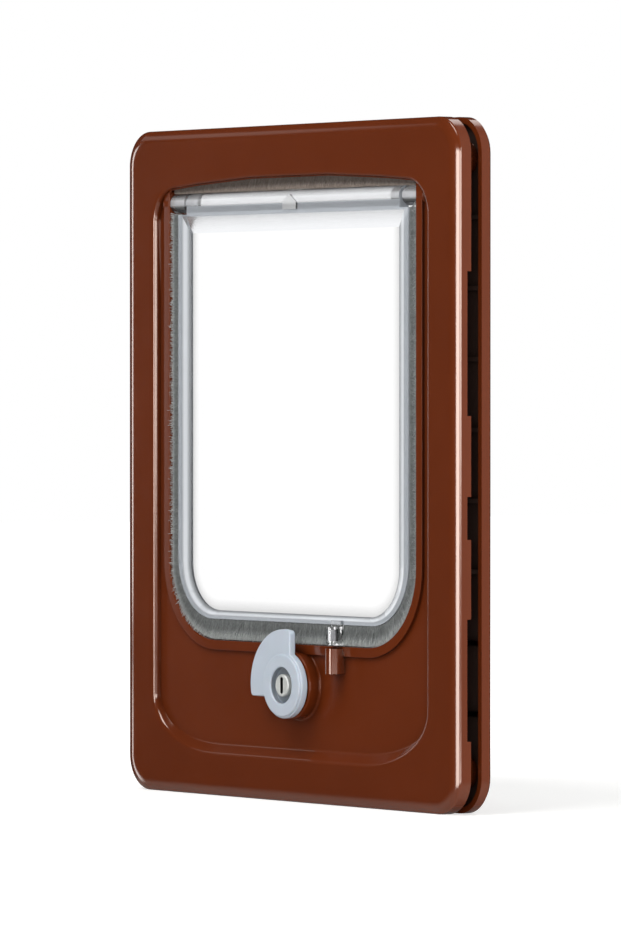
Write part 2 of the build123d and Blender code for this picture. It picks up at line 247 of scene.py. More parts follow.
def relief(tree, height, strength, millimetres):
    """Normal of a skin with a relief of the given depth."""
    inputs = {"Strength": strength, "Distance": millimetres * MM, "Height": height}
    return add_node(tree, "ShaderNodeBump", inputs)


def new_material(name):
    """Empty node material, its tree and the place on the object."""
    material = bpy.data.materials.get(name) or bpy.data.materials.new(name)
    material.use_nodes = True
    tree = material.node_tree
    tree.nodes.clear()
    return material, tree, add_node(tree, "ShaderNodeTexCoord").outputs["Object"]


def surfaced(material, inputs):
    """Material finished with one principled surface."""
    tree = material.node_tree
    add_node(tree, "ShaderNodeOutputMaterial", {0: add_node(tree, "ShaderNodeBsdfPrincipled", inputs)})
    return material


def tinted(base, factor):
    """Colour with its three channels scaled."""
    return [min(1.0, channel * factor) for channel in base[:3]] + [1.0]


def drifting(tree, share, base, dark, light):
    """Colour that drifts between two tints of the base."""
    return mixed(tree, share, tinted(base, dark), tinted(base, light))


def moulded_abs(name, base, smooth, shine):
    """ABS moulded in a polished tool: deep colour, clear reflections, a faint ripple where it shrank."""
    material, tree, where = new_material(name)
    # Colour drifts slowly over about 35 mm, as pigment does along the flow of the melt
    tone = drifting(tree, noise(tree, where, 35, 2.0), base, 0.9, 1.1)
    # Painted shade: inner corners are darker within about 5 mm
    corner = add_node(tree, "ShaderNodeAmbientOcclusion", {"Distance": 5 * MM}, samples=8, only_local=True)
    painted_corner_shade = ranged(tree, corner.outputs["AO"], (0.35, 0.95), (0.3, 1.0))
    # Handling leaves patches of about 9 mm a little less glossy
    gloss = ranged(tree, noise(tree, where, 9, 3.0), (0.3, 0.7), (smooth, smooth + 0.02))
    # Ripple of the moulded skin, drawn at 1.6 mm so that it shows
    skin = relief(tree, noise(tree, where, 1.6, 1.0), 0.04, 0.05)
    return surfaced(material, {"Base Color": scaled(tree, tone, painted_corner_shade), "Roughness": gloss, "IOR": 1.54,
                               "Specular IOR Level": shine, "Specular Tint": (1.0, 0.84, 0.75, 1.0),
                               "Normal": skin})


def painted_pane_edge_shade(tree, where):
    """Painted shade on the pane: less light through it within 4 mm of its edge."""
    half = 62.3 * MM
    foot = 52.5 * MM
    corner = 17 * MM
    shade_width = 4 * MM
    place = split(tree, where)
    beside = calc(tree, "SUBTRACT", calc(tree, "ABSOLUTE", place["X"]), half - corner)
    across = calc(tree, "MAXIMUM", beside)
    down = calc(tree, "MAXIMUM", calc(tree, "SUBTRACT", corner - foot, place["Z"]))
    square = calc(tree, "ADD", calc(tree, "MULTIPLY", across, across), calc(tree, "MULTIPLY", down, down))
    inside = calc(tree, "SUBTRACT", corner, calc(tree, "SQRT", square))
    return ranged(tree, inside, (0.0, shade_width), (0.7, 1.0))


def painted_barrel_light(tree, where):
    """Painted light on the barrel: a painted highlight along its middle and painted shade where its round
    side turns away.
    """
    low, high = 79, 97
    share = ranged(tree, split(tree, where)["Z"], (low * MM, high * MM))
    ramp = add_node(tree, "ShaderNodeValToRGB", {"Fac": share})
    stops = ramp.color_ramp.elements
    stops[0].color = (1, 1, 1, 1)
    stops[1].color = (0.3, 0.3, 0.3, 1)
    for place, tone in ((82.5, 1.0), (85.6, 0.9), (87.4, 0.75), (88.6, 0.35), (89.5, 0.08), (90.4, 0.1),
                        (91.2, 0.95), (92.7, 1.0), (93.7, 0.7), (94.7, 0.32)):
        stops.new((place - low) / (high - low)).color = (tone, tone, tone, 1)
    return ramp.outputs["Color"]


def painted_bevel_edge_shade(tree, where):
    """Painted shade on the bevel: less light along both edges, where light bends away."""
    middle = 2.3 * MM
    depth = calc(tree, "ABSOLUTE", calc(tree, "ADD", split(tree, where)["Y"], middle))
    inner = ranged(tree, depth, (1.1 * MM, 1.6 * MM), (0.4, 1.0), "SMOOTHSTEP")
    outer = ranged(tree, depth, (1.8 * MM, 1.95 * MM), (1.0, 0.6), "SMOOTHSTEP")
    return calc(tree, "MULTIPLY", inner, outer)


def clear_polycarbonate(name, base, smooth, clear=1.0, fade=None, shade=None):
    """Polycarbonate: clear and bright with a haze of fine scuffs, or frosted where the tool is eroded."""
    material, tree, where = new_material(name)
    # Scuffs gather in patches of about 6 mm
    gloss = ranged(tree, noise(tree, where, 6, 4.0), (0.4, 0.8), (smooth, smooth + 0.03))
    if fade:
        # Frosting that runs out downwards between two heights
        heights = [height * MM for height in fade]
        clear = ranged(tree, split(tree, where)["Z"], heights, (1.0, clear), "SMOOTHSTEP")
    # Light and shade painted into the base colour
    if shade:
        base = scaled(tree, base[:3], shade(tree, where))
    return surfaced(material, {"Base Color": base, "Roughness": gloss, "IOR": 1.52,
                               "Transmission Weight": clear})


def polypropylene_pile(name, dark, light):
    """Polypropylene pile: matt fibres, each of its own shade, dark towards the root out of the light."""
    material, tree, where = new_material(name)
    tone = add_node(tree, "ShaderNodeAttribute", attribute_name="fibre_tone").outputs["Fac"]
    rise = add_node(tree, "ShaderNodeAttribute", attribute_name="fibre_rise").outputs["Fac"]
    # Tufts about 0.9 mm across clump lighter and darker
    spread = calc(tree, "MULTIPLY_ADD", tone, 0.5, noise(tree, where, 0.9, 3.0))
    shade = mixed(tree, calc(tree, "SUBTRACT", spread, 0.25), dark, light)
    # Painted shade towards the root and painted light towards the tip
    depth = ranged(tree, rise, (0.45, 1.0), (0.58, 1.5), "SMOOTHSTEP")
    return surfaced(material, {"Base Color": scaled(tree, shade, depth), "Roughness": 0.75,
                               "Specular IOR Level": 0.2})


def moulded_acetal(name, base):
    """Acetal moulded in a fine-eroded tool: pale, satin, with an even grain of about 0.5 mm."""
    material, tree, where = new_material(name)
    tone = drifting(tree, noise(tree, where, 7, 2.0), base, 0.94, 1.05)
    grain = relief(tree, noise(tree, where, 0.5, 2.0), 0.12, 0.05)
    return surfaced(material, {"Base Color": tone, "Roughness": 0.38, "IOR": 1.48, "Subsurface Weight": 0.08,
                               "Subsurface Scale": 0.8 * MM, "Normal": grain})


def plated_steel(name, base, smooth, metal=1.0):
    """Plated steel: bright metal with fine turning marks about 0.4 mm apart and cloudy plating."""
    material, tree, where = new_material(name)
    cloud = noise(tree, where, 2.5, 3.0)
    gloss = ranged(tree, cloud, (0.3, 0.7), (smooth, smooth + 0.14))
    marks = relief(tree, noise(tree, where, 0.4, 2.0), 0.08, 0.03)
    return surfaced(material, {"Base Color": drifting(tree, cloud, base, 0.86, 1.08), "Metallic": metal,
                               "Roughness": gloss, "Normal": marks})


def rounded(points, radii, steps=5):
    """Line through the points, in a plane, with an arc of the given radius at each inner point."""
    line = [points[0]]
    for before, corner, after, radius in zip(points, points[1:], points[2:], radii):
        corner = Vector(corner)
        back = Vector(before) - corner
        ahead = Vector(after) - corner
        half_angle = back.angle(ahead) / 2
        start = corner + back.normalized() * (radius / tan(half_angle))
        halfway = (back.normalized() + ahead.normalized()).normalized()
        middle = corner + halfway * (radius / sin(half_angle))
        sweep = pi - 2 * half_angle
        first = start - middle
        turn = 1 if (back.x * ahead.y - back.y * ahead.x) < 0 else -1
        for step in range(steps + 1):
            angle = turn * sweep * step / steps
            x = first.x * cos(angle) - first.y * sin(angle)
            y = first.x * sin(angle) + first.y * cos(angle)
            line.append(tuple(middle + Vector((x, y))))
    line.append(points[-1])
    return line


def outline(half, top, foot, top_corner, foot_corner, arch, side_marks, end_marks):
    """Upright outline with rounded corners, as (x, z, outward x, outward z, head share, foot share)."""
    arch_z = top - arch
    top_x = half - top_corner
    top_z = arch_z + sqrt((arch - top_corner) ** 2 - top_x ** 2)
    turn = atan2(top_z - arch_z, top_x)
    foot_x = half - foot_corner[0]
    foot_z = foot_corner[1] - foot
    right = []

    def corner(x, z, radius_x, radius_z, start, end, shares):
        for step in range(CORNER_STEPS + 1):
            part = step / CORNER_STEPS
            angle = start + (end - start) * part
            out = Vector((cos(angle) / radius_x, sin(angle) / radius_z)).normalized()
            right.append((x + radius_x * cos(angle), z + radius_z * sin(angle), out.x, out.y, *shares(part)))

    corner(foot_x, foot_z, *foot_corner, -pi / 2, 0, lambda part: (0.0, 1 - part * part * (3 - 2 * part)))
    right.extend((half, foot_z + (top_z - foot_z) * mark, 1, 0, 0, 0) for mark in side_marks)
    corner(top_x, top_z, top_corner, top_corner, 0, turn, lambda part: (part, 0.0))
    head = []
    for mark in end_marks:
        angle = turn + (pi - 2 * turn) * mark
        head.append((arch * cos(angle), arch_z + arch * sin(angle), cos(angle), sin(angle), 1, 0))
    left = [(-x, z, -out_x, *others) for x, z, out_x, *others in reversed(right)]
    low = [(foot_x * (2 * mark - 1), -foot, 0, -1, 0, 1) for mark in end_marks]
    return right + head + left + low


def ring(base, side, head=None, low=None):
    """Ring round an outline, moved inwards and to a depth, which may differ at the head and the foot."""
    head = head or side
    low = low or side
    points = []
    for x, z, out_x, out_z, head_share, low_share in base:
        rest = 1 - head_share - low_share
        inset = side[0] * rest + head[0] * head_share + low[0] * low_share
        y = side[1] * rest + head[1] * head_share + low[1] * low_share
        points.append((x - out_x * inset, y, z - out_z * inset))
    return points


def join_loops(bm, pairs):
    """Band of faces between the two loops of each pair."""
    for first, second in pairs:
        count = len(first)
        for index in range(count):
            after = (index + 1) % count
            bm.faces.new((first[index], first[after], second[after], second[index]))


def add_rings(bm, rings, closed=True):
    """Skin through rings of equal count. A closed skin also joins the last ring to the first."""
    loops = [[bm.verts.new(point) for point in points] for points in rings]
    pairs = list(zip(loops, loops[1:]))
    if closed:
        pairs.append((loops[-1], loops[0]))
    join_loops(bm, pairs)
    return loops


def add_turned(bm, profile, centre, axis, steps, closed):
    """Surface turned from a profile of (radius, place along the axis) round an axis along X or Y."""
    rings = []
    for radius, along in profile:
        points = []
        for step in range(steps):
            angle = 2 * pi * step / steps
            u, v = radius * cos(angle), radius * sin(angle)
            offset = (along, u, v) if axis == "X" else (u, along, v)
            points.append(tuple(c + o for c, o in zip(centre, offset)))
        rings.append(points)
    loops = add_rings(bm, rings, closed)
    if not closed:
        bm.faces.new(loops[0])
        bm.faces.new(loops[-1])


def add_prism(bm, points, axis_from, axis_to, place):
    """Prism of a flat outline. The function place turns (a, b, along) into a point."""
    low = [bm.verts.new(place(a, b, axis_from)) for a, b in points]
    high = [bm.verts.new(place(a, b, axis_to)) for a, b in points]
    bm.faces.new(low)
    bm.faces.new(high)
    join_loops(bm, [(low, high)])


def settled_mesh(piece):
    """Piece with its modifiers worked into one plain mesh."""
    graph = bpy.context.evaluated_depsgraph_get()
    mesh = bpy.data.meshes.new_from_object(piece.evaluated_get(graph), preserve_all_data_layers=True,
                                           depsgraph=graph)
    mesh.name = piece.name
    piece.modifiers.clear()
    piece.data = mesh
    return piece


def linked_object(name, data):
    """Object in the scene for a mesh, a lamp or a camera."""
    piece = bpy.data.objects.new(name, data)
    bpy.context.scene.collection.objects.link(piece)
    return piece


def shaped_piece(name, bm, material, scale=MM, bevel=None):
    """Object from a mesh in millimetres, softened along its sharp edges and shaded smooth."""
    bmesh.ops.remove_doubles(bm, verts=bm.verts, dist=0.0005 * MM / scale)
    bmesh.ops.recalc_face_normals(bm, faces=bm.faces)
    bmesh.ops.scale(bm, vec=(scale, scale, scale), verts=bm.verts)
    mesh = bpy.data.meshes.new(name)
    bm.to_mesh(mesh)
    bm.free()
    mesh.materials.append(material)
    mesh.polygons.foreach_set("use_smooth", [True] * len(mesh.polygons))
    mesh.set_sharp_from_angle(angle=SHARP_ANGLE)
    piece = linked_object(name, mesh)
    if bevel:
        soft = piece.modifiers.new("softened edges", "BEVEL")
        soft.width = bevel * MM
        soft.segments = 3
        soft.limit_method = "ANGLE"
        soft.angle_limit = SHARP_ANGLE
        soft.use_clamp_overlap = True
    even = piece.modifiers.new("even shading", "WEIGHTED_NORMAL")
    even.keep_sharp = not bevel
    even.weight = 80
    return settled_mesh(piece)


def carved(piece, cutter):
    """Piece with the shape of a cutter taken out of it."""
    carve = piece.modifiers.new("recess", "BOOLEAN")
    carve.object = cutter
    carve.solver = "EXACT"
    settled_mesh(piece)
    bpy.data.objects.remove(cutter)


def softened_node(node, name, material, bevel):
    """Copy of a node, joined up and softened along its edges."""
    bm = bmesh.new()
    bm.from_mesh(NODES[node].data)
    bmesh.ops.remove_doubles(bm, verts=bm.verts, dist=0.002 * MM)
    bmesh.ops.dissolve_limit(bm, angle_limit=radians(0.4), verts=bm.verts, edges=bm.edges)
    return shaped_piece(name, bm, material, 1.0, bevel)


def painted(piece, materials, choose):
    """Piece with more materials, one chosen for each face by its middle in millimetres and its normal."""
    for material in materials:
        piece.data.materials.append(material)
    for face in piece.data.polygons:
        x, y, z = (value / MM for value in face.center)
        face.material_index = int(choose(x, y, z, face.normal))


def stand_for(piece, body, slot, *nodes):
    """Piece that moves with a body and stands for nodes, which it hides. The slot is not used."""
    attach(piece, body)
    if nodes:
        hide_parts(*nodes)


def dress(node, material):
    """Material for a node that is shown as it is."""
    mesh = NODES[node].data
    mesh.materials.clear()
    mesh.materials.append(material)


def new_group(name, inputs, result):
    """Empty geometry tree with named inputs, what they give and the identifier of each."""
    tree = bpy.data.node_groups.new(name, "GeometryNodeTree")
    sockets = {}
    for label, kind in inputs.items():
        socket = tree.interface.new_socket(name=label, in_out="INPUT", socket_type="NodeSocket" + kind)
        sockets[label] = socket.identifier
    tree.interface.new_socket(name=result, in_out="OUTPUT", socket_type="NodeSocketGeometry")
    return tree, add_node(tree, "NodeGroupInput").outputs, sockets


def close_group(tree, instances, material):
    """End of a geometry tree: instances made real and given their material."""
    real = add_node(tree, "GeometryNodeRealizeInstances", {"Geometry": instances})
    finish = add_node(tree, "GeometryNodeSetMaterial", {"Geometry": real, "Material": material})
    add_node(tree, "NodeGroupOutput", {0: finish})


def grown(piece, tree, sockets, values):
    """Piece with a geometry tree worked in, its inputs set by their identifiers."""
    modifier = piece.modifiers.new(tree.name, "NODES")
    modifier.node_group = tree
    for label, value in values.items():
        modifier[sockets[label]] = value
    return settled_mesh(piece)


def grid_tree(material):
    """Tree that lays a piece out in columns and rows, upright in the plane of the door."""
    inputs = {"Piece": "Geometry", "Width": "Float", "Height": "Float", "Columns": "Int", "Rows": "Int"}
    tree, given, sockets = new_group("Grid of pieces", inputs, "Pieces")
    grid = add_node(tree, "GeometryNodeMeshGrid",
                    {"Size X": given["Width"], "Size Y": given["Height"], "Vertices X": given["Columns"],
                     "Vertices Y": given["Rows"]})
    upright = add_node(tree, "GeometryNodeTransform", {"Geometry": grid, "Rotation": (pi / 2, 0.0, 0.0)})
    placed = add_node(tree, "GeometryNodeInstanceOnPoints", {"Points": upright, "Instance": given["Piece"]})
    close_group(tree, placed, material)
    return tree, sockets


def laid_out(piece, material, width, height, columns, rows):
    """Piece repeated in a grid about the middle of the frame."""
    values = {"Width": width * MM, "Height": height * MM, "Columns": columns, "Rows": rows}
    return grown(piece, *grid_tree(material), values)


def frame_marks(s):
    """Shares along the sides and ends of the frame where the skirt steps."""
    side_steps = [z for notch in SIDE_NOTCHES for z in notch]
    end_steps = [sign * x for x in END_NOTCH for sign in (-1, 1)]
    marks = []
    for steps, extent in ((side_steps, s.frame_height), (end_steps, s.frame_width)):
        reach = extent / 2 - s.frame_corner
        places = sorted(step + shift for step in steps for shift in (-STEP_HALF, STEP_HALF))
        marks.append([(place + reach) / (2 * reach) for place in places])
    return marks


def crowned_edge(front, s):
    """Profile of the front edge, from the skirt inwards: a tight round that runs out in a slight crown."""
    turn = radians(30)
    knee = s.edge_round * (1 - sin(turn))
    knee_depth = s.edge_crown * (1 - cos(turn))
    profile = []
    for step in range(7, 0, -1):
        angle = turn + (pi / 2 - turn) * step / 7
        profile.append((s.edge_round * (1 - sin(angle)),
                        front + knee_depth + s.edge_round * (cos(turn) - cos(angle))))
    for step in range(6, -1, -1):
        angle = turn * step / 6
        profile.append((knee + s.edge_crown * (sin(turn) - sin(angle)),
                        front + s.edge_crown * (1 - cos(angle))))
    return profile


def skirt_step(x, z, s):
    """Depth of the skirt's rear edge at a place on the frame's outline."""
    near = 3.0
    if abs(x) > s.frame_width / 2 - near:
        inside = any(low < z < high for low, high in SIDE_NOTCHES)
    else:
        inside = END_NOTCH[0] < abs(x) < END_NOTCH[1] and abs(z) > s.frame_height / 2 - near
    return -s.notch_depth if inside else 0.0


def gloss_brown(colours):
    """Polished brown of both frames."""
    return moulded_abs("ABS moulded gloss brown", colours.brown, 0.12, 0.75)


class FLAP_OT_front_frame(bpy.types.Operator):
    """Room-side frame with its soft edge, sunken field, tunnel, latch boss and magnet peg"""

    bl_idname = "cat_flap.front_frame"
    bl_label = "Front frame"

    def execute(self, context):
        s = in_millimetres(context.scene.cat_flap_sizes)
        colours = context.scene.cat_flap_colours
        marks = frame_marks(s)
        front = -s.front_depth
        panel_back = front + s.panel
        floor = front + s.recess_depth
        floor_back = floor + s.wall
        half_width, half_height = s.frame_width / 2, s.frame_height / 2
        outer = outline(half_width, half_height, half_height, s.frame_corner, (s.frame_corner,) * 2,
                        FLAT, *marks)
        field = outline(s.recess_half, s.recess_top, s.recess_foot, 12.0, (38.0, 20.0), s.arch_radius, *marks)
        mouth = outline(s.opening_half, s.opening_top, s.opening_foot, 1.2, (s.opening_corner,) * 2,
                        s.arch_radius, *marks)

        # Skirt, crowned edge, front panel and sunken field
        bm = bmesh.new()
        soft = 0.3
        rings = [ring(outer, (s.wall, panel_back))]
        for inset, back in ((s.wall, soft), (s.wall - soft, 0.0), (soft, 0.0), (0.0, soft)):
            flat = ring(outer, (inset, -back))
            rings.append([(x, y + skirt_step(p[0], p[1], s), z) for (x, y, z), p in zip(flat, outer)])
        rings.extend(ring(outer, place) for place in crowned_edge(front, s))
        # Foot of the slope, end of the profile and both radii, at the field's sides, head and foot
        slopes = ((0.4, 2.6, (1.8, 0.0)), (0.3, 0.5, (1.0, 0.05)), (s.recess_ramp, 7.0, (2.2, 2.0)))
        profiles = [rounded([(-2.0, front), (0.0, front), (slope, floor), (end, floor)], radii)
                    for slope, end, radii in slopes]
        rings.extend(ring(field, *places) for places in zip(*profiles))
        rings.extend(ring(mouth, (-0.5, y)) for y in (floor, floor_back))
        rings.extend(ring(field, (-s.wall, y)) for y in (floor_back, panel_back))
        add_rings(bm, rings)

        # Tunnel with its lip
        lip = floor - s.lip_height
        root = floor + 0.3
        tube = rounded([(0.0, 1.0), (0.0, lip), (-s.lip_width, lip + 0.15), (-s.lip_width, root),
                        (-s.wall, root), (-s.wall, s.tunnel_end), (0.0, s.tunnel_end), (0.0, 1.0)],
                       (0.3, 0.15, 0.05, 0.05, 0.3, 0.3))
        add_rings(bm, [ring(mouth, place) for place in tube[:-1]])

        # Boss under the latch
        boss_front = floor - 4.6
        boss = 11.8
        sunk = floor + 0.6
        profile = rounded([(LATCH_BORE, boss_front), (boss, boss_front), (boss, floor), (13.5, floor)],
                          (0.8, 0.8))
        profile[-1:] = [(12.6, sunk), (LATCH_BORE, sunk)]
        add_turned(bm, profile, (s.latch_x, 0.0, -s.latch_drop), "Y", 72, True)

        # Half-round peg of the magnet
        peg = 3.1
        peg_y = -6.35
        angles = [pi * step / 24 for step in range(25)]
        section = [(peg * cos(angle), peg_y - peg * sin(angle)) for angle in angles]
        section += [(-peg, floor_back), (peg, floor_back)]
        add_prism(bm, section, -72.4, -63.7, lambda a, b, along: (s.magnet_x + a, b, along))

        # Sockets of the hinge and bosses of the clamping screws
        near, far = s.opening_half + 0.5, s.opening_half + 4.6
        bump = rounded([(0.0, near), (4.0, near), (4.0, far), (0.0, far)], (0.4, 1.2))
        for sign in (-1, 1):
            profile = [(max(radius, AXIS_GAP), sign * along) for radius, along in bump]
            add_turned(bm, profile, (0.0, -s.hinge_depth, s.hinge_height), "X", 48, False)
        profile = [(1.8, -0.02), (4.0, -0.02), (4.2, -0.3), (4.2, -5.0), (1.8, -5.0)]
        for x in (-SCREW_X, SCREW_X):
            for z in (-SCREW_Z, SCREW_Z):
                add_turned(bm, profile, (x, 0, z), "Y", 32, True)
        brown = gloss_brown(colours)
        piece = shaped_piece("front_frame_moulding", bm, brown)

        def less_polished(x, y, z, normal):
            """Whether a face lies in the field, apart from its polished left edge, its foot and the peg."""
            sunken = abs(x) < s.recess_half + 1.4 and -s.recess_foot - 2.0 < z < s.recess_top + 1.4
            edge = front - 0.03 < y < floor - 0.02 and normal.x < 0.9
            polished = edge and (x < -79.0 or x < 20.0 and z < -90.0)
            peg_side = abs(x - s.magnet_x) < peg + 0.2 and z < -63.0 and y < floor - 0.1
            return sunken and y < floor + 0.05 and abs(y - front) > 0.002 and not polished and not peg_side

        painted(piece, [moulded_abs("ABS moulded satin brown", colours.brown, 0.2, 0.12)], less_polished)
        stand_for(piece, "frame", "brown_plastic", "front_frame")

        # Stiffening ribs behind the side margins
        inner, reach = s.recess_half + 0.5, half_width - 1.0
        half = (reach - inner) / 2
        rib_front, rib_back, rib_half = -5.1, -2.6, 0.75
        bm = bmesh.new()
        add_prism(bm, [(-half, rib_front), (half, rib_front), (half, rib_back), (-half, rib_back)],
                  -rib_half, rib_half, lambda a, b, along: (a, b, along))
        ribs = laid_out(shaped_piece("front_frame_ribs", bm, brown), brown, inner + reach, 168.0, 2, 8)
        stand_for(ribs, "frame", "brown_plastic")
        return {"FINISHED"}


class FLAP_OT_rear_frame(bpy.types.Operator):
    """Weather-side frame"""

    bl_idname = "cat_flap.rear_frame"
    bl_label = "Rear frame"

    def execute(self, context):
        colours = context.scene.cat_flap_colours
        piece = softened_node("rear_frame", "rear_frame_moulding", gloss_brown(colours), None)

        def in_shaded_hollow(x, y, z, normal):
            """Whether a face lies inside the hollow towards the door, unpolished and darkened as painted
            shade.
            """
            facing_door = normal.y < -0.5 and y > 4.9
            rib_side = abs(normal.z) > 0.9 and abs(z) < 95.0 and 79.0 < abs(x) < 98.0
            return facing_door or rib_side

        painted(piece, [moulded_abs("ABS unpolished brown in painted shade", colours.hollow, 0.5, 0.05)], in_shaded_hollow)
        stand_for(piece, "frame", "brown_plastic", "rear_frame")
        return {"FINISHED"}


class FLAP_OT_swing_flap(bpy.types.Operator):
    """Clear swing flap, its bearing bushes and its hinge pins"""

    bl_idname = "cat_flap.swing_flap"
    bl_label = "Swing flap"

    def execute(self, context):
        s = in_millimetres(context.scene.cat_flap_sizes)
        colours = context.scene.cat_flap_colours
        clear = clear_polycarbonate("Polycarbonate clear moulded", colours.clear, 0.0)
        rim = clear_polycarbonate("Polycarbonate frosted rim", colours.satin, 0.2, 0.55)
        # Bevel with painted shade along both its edges
        bevel = clear_polycarbonate("Polycarbonate frosted bevel", colours.bevel, 0.2, 0.2, shade=painted_bevel_edge_shade)
        # Barrel, bushes and hinge rod with a painted highlight and painted shade by height
        barrel = clear_polycarbonate("Polycarbonate satin barrel", colours.barrel, 0.1, 0.7, (81.0, 90.0),
                                     painted_barrel_light)
        # Pane with painted shade round its edge
        pane = clear_polycarbonate("Polycarbonate clear pane", colours.clear, 0.0, shade=painted_pane_edge_shade)
        mark = clear_polycarbonate("Polycarbonate frosted mark", tinted(colours.barrel, 0.72), 0.2, 0.45)
        in_pocket, in_rim, in_bevel, in_barrel, in_pane, in_mark = range(6)

        def finish(x, y, z, normal):
            """Number of the material at a face of the flap."""
            raised = y < -s.flap_depth - 2.03
            head = z > s.flap_top - 7.0
            if abs(abs(y + s.flap_depth) - 1.0) < 0.02 and abs(normal.y) > 0.99:
                return in_pane
            if raised and z < 0:
                return in_pocket
            if head and raised and abs(x) < 8.0 and normal.y < -0.98:
                return in_mark
            if head and abs(x) < s.flap_half - 6.0:
                return in_barrel
            return in_rim if abs(normal.y) > 0.99 or abs(normal.y) < 0.05 else in_bevel

        flap = softened_node("flap", "flap_moulding", clear, 0.25)
        painted(flap, [rim, bevel, barrel, pane, mark], finish)
        stand_for(flap, "flap", "clear_plastic", "flap")
        for side in ("left", "right"):
            bush = softened_node("hinge_bush_" + side, "bush_" + side, barrel, 0.25)
            stand_for(bush, "frame", "clear_plastic", "hinge_bush_" + side)
        dress("hinge_rod", barrel)
        return {"FINISHED"}


def pile_tree(material):
    """Tree that plants leaning fibres along a path, outwards in the plane of the door."""
    inputs = {"Path": "Geometry", "Pitch": "Float", "Rows": "Int", "Thickness": "Float",
              "Fibre radius": "Float", "Lean": "Float", "Seed": "Int"}
    tree, given, sockets = new_group("Pile strip", inputs, "Pile")

    def drawn(low, high, offset, kind="FLOAT"):
        """Random value with a seed of its own."""
        first, result = (2, 1) if kind == "FLOAT" else (0, 0)
        seed = calc(tree, "ADD", given["Seed"], offset)
        limits = {first: low, first + 1: high, "Seed": seed}
        return add_node(tree, "FunctionNodeRandomValue", limits, data_type=kind).outputs[result]

    def stored(geometry, name, value, domain):
        """Geometry with a named value for the material."""
        inputs = {"Geometry": geometry, "Name": name, "Value": value}
        return add_node(tree, "GeometryNodeStoreNamedAttribute", inputs, data_type="FLOAT", domain=domain)

    line = add_node(tree, "GeometryNodeMeshToCurve", {"Mesh": given["Path"]})
    spots = add_node(tree, "GeometryNodeCurveToPoints", {"Curve": line, "Length": given["Pitch"]},
                     mode="LENGTH")
    rows = add_node(tree, "GeometryNodeDuplicateElements", {"Geometry": spots, "Amount": given["Rows"]},
                    domain="POINT")
    row = calc(tree, "ADD", rows.outputs["Duplicate Index"], 0.5)
    middle = calc(tree, "SUBTRACT", calc(tree, "DIVIDE", row, given["Rows"]), 0.5)
    across = calc(tree, "MULTIPLY", middle, given["Thickness"])
    shift = add_node(tree, "ShaderNodeCombineXYZ", {"Y": across})
    stray = 0.15 * MM
    strayed = vector(tree, "ADD", shift, drawn((-stray,) * 3, (stray,) * 3, 0.0, "FLOAT_VECTOR"))
    placed = add_node(tree, "GeometryNodeSetPosition", {"Geometry": rows, "Offset": strayed})

    outwards = vector(tree, "CROSS_PRODUCT", spots.outputs["Tangent"], (0.0, 1.0, 0.0))
    sway = drawn((-1.0, -0.75, -1.0), (1.0, 0.15, 1.0), 7.0, "FLOAT_VECTOR")
    aim = vector(tree, "ADD", outwards, scaled(tree, sway, given["Lean"]))
    turned = add_node(tree, "FunctionNodeAlignRotationToVector", {"Vector": aim}, axis="Z")
    height = add_node(tree, "GeometryNodeInputNamedAttribute", {"Name": "pile_height"}, data_type="FLOAT")
    tall = calc(tree, "MULTIPLY", height, drawn(0.88, 1.0, 13.0))
    radius = given["Fibre radius"]
    scale = add_node(tree, "ShaderNodeCombineXYZ", {"X": radius, "Y": radius, "Z": tall})

    shape = {"Vertices": 3, "Side Segments": 2, "Radius Top": 0.4, "Radius Bottom": 1.0, "Depth": 1.0}
    cone = add_node(tree, "GeometryNodeMeshCone", shape, fill_type="NONE")
    smooth = add_node(tree, "GeometryNodeSetShadeSmooth", {"Geometry": cone})
    rise = split(tree, add_node(tree, "GeometryNodeInputPosition"))["Z"]
    fibre = stored(smooth, "fibre_rise", rise, "POINT")
    planted = add_node(tree, "GeometryNodeInstanceOnPoints",
                       {"Points": placed, "Instance": fibre, "Rotation": turned, "Scale": scale})
    close_group(tree, stored(planted, "fibre_tone", drawn(0.0, 1.0, 29.0), "INSTANCE"), material)
    return tree, sockets


def plant_pile(name, path, heights, p, seed, material):
    """Loose fibres along a path in millimetres, with the fibre length at each point."""
    mesh = bpy.data.meshes.new(name)
    edges = [(index, index + 1) for index in range(len(path) - 1)]
    mesh.from_pydata([Vector(point) * MM for point in path], edges, [])
    layer = mesh.attributes.new("pile_height", "FLOAT", "POINT")
    layer.data.foreach_set("value", [height * MM for height in heights])
    values = {"Pitch": p.pitch * MM, "Rows": p.rows, "Thickness": (p.thickness - 0.4) * MM,
              "Fibre radius": p.fibre * MM, "Lean": p.lean, "Seed": seed}
    return grown(linked_object(name, mesh), *pile_tree(material), values)


def pile_core(name, path, heights, p, material):
    """Dense body of a pile strip, inside its loose fibres."""
    bm = bmesh.new()
    rise = bm.verts.layers.float.new("fibre_rise")
    half = p.thickness / 2 - 0.3
    front = [(0.0, -half), (0.25, -half), (0.5, -half), (0.85, -half), (0.96, 0.5 - half)]
    profile = front + [(share, -depth) for share, depth in reversed(front)]
    sections = []
    for index, (x, y, z) in enumerate(path):
        before = Vector(path[max(index - 1, 0)])
        after = Vector(path[min(index + 1, len(path) - 1)])
        outwards = (after - before).cross(Vector((0, 1, 0))).normalized()
        section = []
        for share, depth in profile:
            reach = heights[index] * share
            vertex = bm.verts.new((x + outwards.x * reach, y + depth, z + outwards.z * reach))
            vertex[rise] = share
            section.append(vertex)
        sections.append(section)
    join_loops(bm, zip(sections, sections[1:]))
    bm.faces.new(sections[0])
    bm.faces.new(sections[-1])
    return shaped_piece(name, bm, material)


def pile_strip(name, path, heights, p, seed, material, body, node):
    """Fibres and core of a pile strip that stand for a node."""
    stand_for(plant_pile(name, path, heights, p, seed, material), body, "grey_pile", node)
    stand_for(pile_core(name + "_core", path, heights, p, material), body, "grey_pile")


